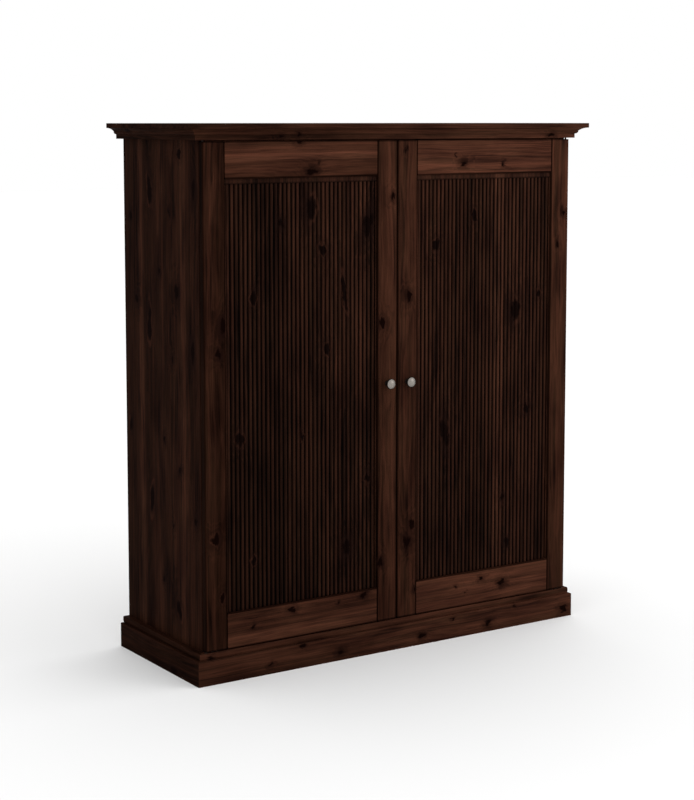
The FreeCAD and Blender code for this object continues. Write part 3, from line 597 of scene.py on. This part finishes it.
# Sizes of their patterns' marks and how deep these are, in millimetres
NICKEL_LINES, NICKEL_DEPTH = 1.5, 0.006
PLATED_PATCHES = 4.0
OXIDE_MOTTLE, OXIDE_DEPTH = 3.0, 0.01
PLASTIC_GRIT, PLASTIC_DEPTH = 0.8, 0.015
FELT_HAIR, FELT_DEPTH = 0.6, 0.08
BEECH_FLECK = (0.5, 4.0)
# Roughness from one end of a pattern to the other
NICKEL_ROUGHNESS = (0.3, 0.7, 0.34, 0.46)
PLATED_ROUGHNESS = (0.28, 0.40)

# How far in front of a knob's foot its head begins and its neck ends, in metres
KNOB_HEAD = 0.0160
KNOB_NECK = 0.0145
# How far from a knob's middle its bright face ends and its dark rim begins, in metres
KNOB_FACE = 0.0118
KNOB_RIM = 0.0132

# The back sheets' plywood, in millimetres: how its grain waves, the low hills through which it
# was peeled and the lines on them, and its fibre
PLY_WAVE, PLY_WAVE_REACH = (12.0, 60.0), (9.0, 0.0, 0.0)
PLY_HILLS, PLY_LINES, PLY_LINE_STRENGTH = (190.0, 900.0), 26.0, 0.55
PLY_FIBRE, PLY_FIBRE_SHADE, PLY_DEPTH = (1.6, 60.0), (0.25, 0.75, 0.75, 1.20), 0.03
PLY_SEED, PLY_FIBRE_SEED, BEECH_SEED = 5, 9, 3


def turned_nickel():
    """Zinc alloy, turned: a warm grey face of satin nickel, and a dark rim, neck and foot."""
    material, tree, surface = new_material("zinc_alloy_turned_satin_nickel_head", Metallic=1.0)
    place = add(tree, "TexCoord").outputs["Object"]
    foot = node_edges("door_left_knob", "y")[1] / PER_METRE
    depth = add(tree, "SeparateXYZ", (place,)).outputs["Y"]
    neck = add(tree, "MapRange", (depth, foot - KNOB_HEAD, foot - KNOB_NECK, 0.0, 1.0))
    # The knobs mirror each other, so the right one's middle serves both
    middle = [sum(node_edges("door_right_knob", axis)) / 2 / PER_METRE for axis in "xyz"]
    either = add(tree, "VectorMath", (place,), operation="ABSOLUTE")
    off = add(tree, "VectorMath", (either, middle), operation="SUBTRACT")
    off = add(tree, "VectorMath", (off, (1, 0, 1)), operation="MULTIPLY")
    radius = add(tree, "VectorMath", (off,), operation="LENGTH")
    rim = add(tree, "MapRange", (radius, KNOB_FACE, KNOB_RIM, 0.0, 1.0))
    dark = add(tree, "Math", (neck, rim), operation="MAXIMUM")
    colour = add(tree, "Mix", (dark, linear("#8E8882"), linear("#1C1715")), **OF_COLOURS)
    lines = add(tree, "TexNoise", {"Vector": place, "Scale": PER_METRE / NICKEL_LINES})
    gloss = add(tree, "MapRange", (lines, *NICKEL_ROUGHNESS))
    feed(tree, surface, colour, gloss, lines, NICKEL_DEPTH)
    return material


def plated_steel(title, dark, pale):
    """Pressed mild steel with a plated skin: small patches differ a little in tone and gloss."""
    material, tree, surface = new_material(title, Metallic=1.0)
    place = add(tree, "TexCoord").outputs["Object"]
    scale = PER_METRE / PLATED_PATCHES
    patches = add(tree, "TexVoronoi", {"Vector": place, "Scale": scale}).outputs["Color"]
    level = add(tree, "SeparateColor", (patches,))
    colour = add(tree, "Mix", (level, linear(dark), linear(pale)), **OF_COLOURS)
    feed(tree, surface, colour, add(tree, "MapRange", (level, 0.0, 1.0, *PLATED_ROUGHNESS)))
    return material


def speckled(title, dark, pale, size, depth, detail=PLAIN, **shader):
    """A dull material whose specks, of one size, vary in colour and in height."""
    material, tree, surface = new_material(title, **shader)
    place = add(tree, "TexCoord").outputs["Object"]
    scale = PER_METRE / size
    specks = add(tree, "TexNoise", {"Vector": place, "Scale": scale, "Detail": detail})
    colour = add(tree, "Mix", (specks, linear(dark), linear(pale)), **OF_COLOURS)
    feed(tree, surface, colour, None, specks, depth)
    return material


def browned_steel():
    """Pressed mild steel, browned: a thin skin of oxide, dull, dark and faintly mottled."""
    return speckled(
        "steel_pressed_browned", "#1A1310", "#2A201B", OXIDE_MOTTLE, OXIDE_DEPTH, FINE,
        Specular_IOR_Level=0.1, Roughness=0.6)


def moulded_plastic():
    """Brown ABS, moulded: fine even texture with a dull sheen."""
    return speckled(
        "abs_moulded_brown", "#241813", "#2E1F18", PLASTIC_GRIT, PLASTIC_DEPTH,
        IOR=1.53, Specular_IOR_Level=0.3, Roughness=0.5)


def pressed_felt():
    """Wool felt, pressed and cut: matt and slightly mottled."""
    return speckled(
        "wool_felt_pressed_brown", "#2E211B", "#4A382F", FELT_HAIR, FELT_DEPTH, FINEST,
        Roughness=0.95, Specular_IOR_Level=0.2, Sheen_Weight=0.3)


def back_plywood():
    """Thin poplar plywood, peeled and stained: broad, lazy loops of grain and a dull surface."""
    material, tree, surface = new_material(
        "poplar_plywood_peeled_stained", IOR=1.5, Specular_IOR_Level=0.02, Roughness=0.62)
    place = swayed(tree, board_space(tree, "z", "x"), PLY_WAVE, PLY_SEED, PLY_WAVE_REACH)
    hills = grain_noise(tree, place, PLY_HILLS, PLY_SEED, BROAD)
    late = late_wood(tree, add(tree, "Math", (hills, PLY_LINES), operation="MULTIPLY"))
    fibre = grain_noise(tree, place, PLY_FIBRE, PLY_FIBRE_SEED, FINE)
    lines = add(tree, "Math", (late, PLY_LINE_STRENGTH), operation="MULTIPLY")
    body = add(tree, "Mix", (lines, linear("#3B261B"), linear("#291912")), **OF_COLOURS)
    shade = add(tree, "MapRange", (fibre, *PLY_FIBRE_SHADE))
    body = add(tree, "VectorMath", {"Vector": body, "Scale": shade}, operation="SCALE")
    feed(tree, surface, body, None, fibre, PLY_DEPTH)
    return material


def turned_beech():
    """Beech, turned into dowel: pale pinkish brown with short dark flecks."""
    material, tree, surface = new_material(
        "beech_turned_bare", IOR=1.5, Specular_IOR_Level=0.25, Roughness=0.6)
    fleck = grain_noise(tree, board_space(tree, "z", "x"), BEECH_FLECK, BEECH_SEED, FINE)
    colour = add(tree, "Mix", (fleck, linear("#A67C58"), linear("#C9A27C")), **OF_COLOURS)
    feed(tree, surface, colour)
    return material


def dress_fittings():
    """Metal, plastic, felt, plywood and beech pieces, by the first word found in their names.

    The rest, such as nails, strike plates, rail sockets and shelf pins, is plated as screws are.
    """
    finishes = {
        "screw": plated_steel("steel_pressed_zinc_plated", "#9A9C9E", "#B6B8BA"),
        "_knob": turned_nickel(),
        "magnet_catch": moulded_plastic(),
        "buffers": pressed_felt(),
        "back_panel": back_plywood(),
        "cornice_dowels": turned_beech(),
        "_pivot": browned_steel(),
        "clothes_rail": plated_steel("steel_tube_chromed", "#C4C5C6", "#CFD0D1"),
    }
    for name in nodes:
        if name not in BOARDS:
            fits = [finish for word, finish in finishes.items() if word in name]
            dress(name, fits[0] if fits else finishes["screw"])


# Studio

# The dome's light: the way to its brightest part, right and a little to the front, and its
# levels opposite that and there
DOME_AIM = Vector((0.96, -0.27, 0.0))
DOME_BEHIND = 0.87
DOME_AHEAD = 1.78
# The lamp in metres, and how bright white paper that faces it is where it aims
LAMP_PLACE = Vector((2.3, -3.0, 2.1))
LAMP_AIM = Vector((0.1, -0.2, 0.8))
LAMP_SIZE = 1.8
LAMP_LEVEL = 0.12
FLOOR_SIZE = 60.0
FLOOR_PAPER = 0.80
# The camera as solved from the photograph: metres, degrees, and millimetres for lens and film
CAMERA_PLACE = Vector((-2.7843, -4.1819, 1.4561))
CAMERA_YAW = 33.39
CAMERA_PITCH = 5.83
CAMERA_LENS = 80.69
CAMERA_FILM = 36.0
CAMERA_SHIFT = -0.12
CAMERA_REACH = 100.0


def seen_white(tree):
    """1 for rays that show the background: from the camera, or mirrored or let through."""
    path = add(tree, "LightPath").outputs
    seen = path["Is Camera Ray"]
    for kind in ("Is Glossy Ray", "Is Transmission Ray"):
        seen = add(tree, "Math", (seen, path[kind]), operation="MAXIMUM")
    return seen


def make_world():
    """A white studio: white where it is seen, with a soft light, strongest from the right."""
    world = bpy.data.worlds.new("studio")
    tree = bare_tree(world)
    way = add(tree, "TexCoord").outputs["Generated"]
    ahead = add(tree, "VectorMath", (way, DOME_AIM), operation="DOT_PRODUCT")
    reach = DOME_AIM.length
    level = add(tree, "MapRange", (ahead, -reach, reach, DOME_BEHIND, DOME_AHEAD))
    strength = add(tree, "Mix", (seen_white(tree), level, 1.0))
    glow = add(tree, "Background", {"Color": linear("#FFFFFF"), "Strength": strength})
    add(tree, "OutputWorld", {"Surface": glow})
    bpy.context.scene.world = world


def make_floor():
    """A pale floor, lit to white far off, as the background is, which keeps the soft shadow."""
    bpy.ops.mesh.primitive_plane_add(size=FLOOR_SIZE, location=(0, 0, 0))
    floor = bpy.context.object
    floor.name = "floor"
    material = bpy.data.materials.new("paper_matt_white")
    tree = bare_tree(material)
    paper = add(tree, "BsdfDiffuse", {"Color": (FLOOR_PAPER, FLOOR_PAPER, FLOOR_PAPER, 1.0)})
    add(tree, "OutputMaterial", {"Surface": paper})
    floor.data.materials.append(material)


def set_up(name, data, place, way, front):
    """Puts a lamp or camera at a place, its front axis turned that way."""
    thing = bpy.data.objects.new(name, data)
    thing.location = place
    thing.rotation_mode = "QUATERNION"
    thing.rotation_quaternion = way.to_track_quat(front, "Y")
    bpy.context.scene.collection.objects.link(thing)
    return thing


def make_lamp():
    """One big soft lamp to the front right, a little above the wardrobe."""
    back = LAMP_PLACE - LAMP_AIM
    data = bpy.data.lights.new("softbox", "AREA")
    data.shape = "DISK"
    data.size = LAMP_SIZE
    data.energy = LAMP_LEVEL * math.pi * math.pi * back.length_squared
    set_up("softbox", data, LAMP_PLACE, back, "Z")


def make_camera():
    """The photograph's standpoint, level with the top of the wardrobe and to its left."""
    data = bpy.data.cameras.new("camera")
    data.lens = CAMERA_LENS
    data.sensor_width = CAMERA_FILM
    data.shift_y = CAMERA_SHIFT
    data.clip_end = CAMERA_REACH
    yaw, pitch = math.radians(CAMERA_YAW), math.radians(CAMERA_PITCH)
    level = math.cos(pitch)
    ahead = Vector((math.sin(yaw) * level, math.cos(yaw) * level, -math.sin(pitch)))
    bpy.context.scene.camera = set_up("camera", data, CAMERA_PLACE, ahead, "-Z")


dress_boards()
dress_fittings()
make_world()
make_floor()
make_lamp()
make_camera()
bpy.context.scene.view_settings.view_transform = "Standard"
